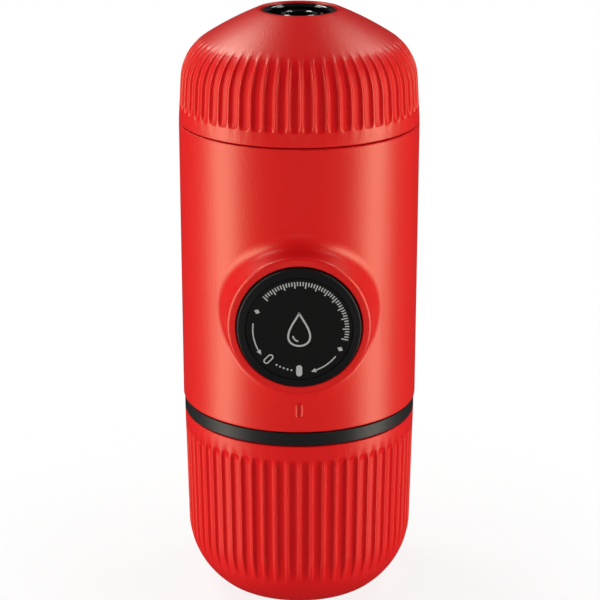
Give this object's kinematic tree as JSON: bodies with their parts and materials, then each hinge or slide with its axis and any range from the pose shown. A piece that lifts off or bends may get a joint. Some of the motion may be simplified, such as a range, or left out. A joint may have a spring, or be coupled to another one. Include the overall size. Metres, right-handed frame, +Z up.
{
  "type": "handheld manual espresso maker",
  "caption": "Cylindrical hand-pumped espresso maker with a fluted dome outlet head, a side pump knob in a raised boss, a dark collar band and a fluted cup below.",
  "frame": {"origin": "centre of the flat base, on the surface it stands on", "axes": "+Z up along the body, -Y out of the pump knob's face, +X to the right as seen from the knob's side"},
  "size_m": [0.062, 0.071, 0.1564],
  "materials": {
    "red_shell": "finely textured satin red moulding",
    "collar_black": "satin black tank moulding, its collar shows as the dark band",
    "knob_black": "satin black moulding",
    "knob_face": "flat satin black disc with pale grey printing",
    "nozzle_black": "glossy black moulding",
    "liner_grey": "dark grey smooth moulding",
    "inner_black": "dark glass-filled nylon moulding",
    "steel": "stainless steel",
    "silicone": "soft grey silicone"
  },
  "bodies": {
    "main_body": {"body_shell": "red_shell", "lock_ring": "inner_black", "tank_socket": "inner_black", "pump_housing": "inner_black", "pump_screws": "steel", "manifold_screws": "steel", "rod_guide": "inner_black", "return_spring": "steel", "inlet_valve": "silicone", "outlet_valve": "silicone", "vent_valve": "silicone", "intake_strainer": "inner_black", "tank_seal": "silicone", "brew_head": "inner_black", "shower_screen": "steel", "shower_screw": "steel", "brew_gasket": "silicone"},
    "piston": {"piston_rod": "inner_black", "piston_head": "inner_black", "piston_seal": "silicone", "knob_screw": "steel"},
    "knob": {"knob_body": "knob_black", "knob_cap": "knob_face"},
    "outlet_head": {"outlet_head_shell": "red_shell", "portafilter": "inner_black", "head_gasket": "silicone", "nozzle": "nozzle_black", "nozzle_seal": "silicone", "crema_valve": "silicone"},
    "filter_basket": {"filter_basket": "steel", "basket_screen": "steel", "basket_seal": "silicone"},
    "water_tank": {"water_tank": "collar_black", "cup_seal": "silicone"},
    "cup": {"cup_shell": "red_shell", "cup_liner": "liner_grey"}
  },
  "joints": [
    {"name": "piston_slide", "type": "slide", "parent": "main_body", "child": "piston", "axis": [0, -1, 0], "range_m": [0, 0.016], "deforming": ["return_spring"]},
    {"name": "knob_turn", "type": "hinge", "parent": "piston", "child": "knob", "pos_m": [0, -0.036, 0.0843], "axis": [0, -1, 0], "range_deg": [0, 45]},
    {"name": "outlet_head_lift", "type": "slide", "parent": "main_body", "child": "outlet_head", "axis": [0, 0, 1], "range_m": [0, 0.08]},
    {"name": "basket_lift", "type": "slide", "parent": "main_body", "child": "filter_basket", "axis": [0, 0, 1], "range_m": [0, 0.04]},
    {"name": "tank_drop", "type": "slide", "parent": "main_body", "child": "water_tank", "axis": [0, 0, -1], "range_m": [0, 0.03]},
    {"name": "cup_drop", "type": "slide", "parent": "water_tank", "child": "cup", "axis": [0, 0, -1], "range_m": [0, 0.05]}
  ],
  "couplings": [
    {"joint": "basket_lift", "follows": "outlet_head_lift", "ratio": 0.5}
  ]
}
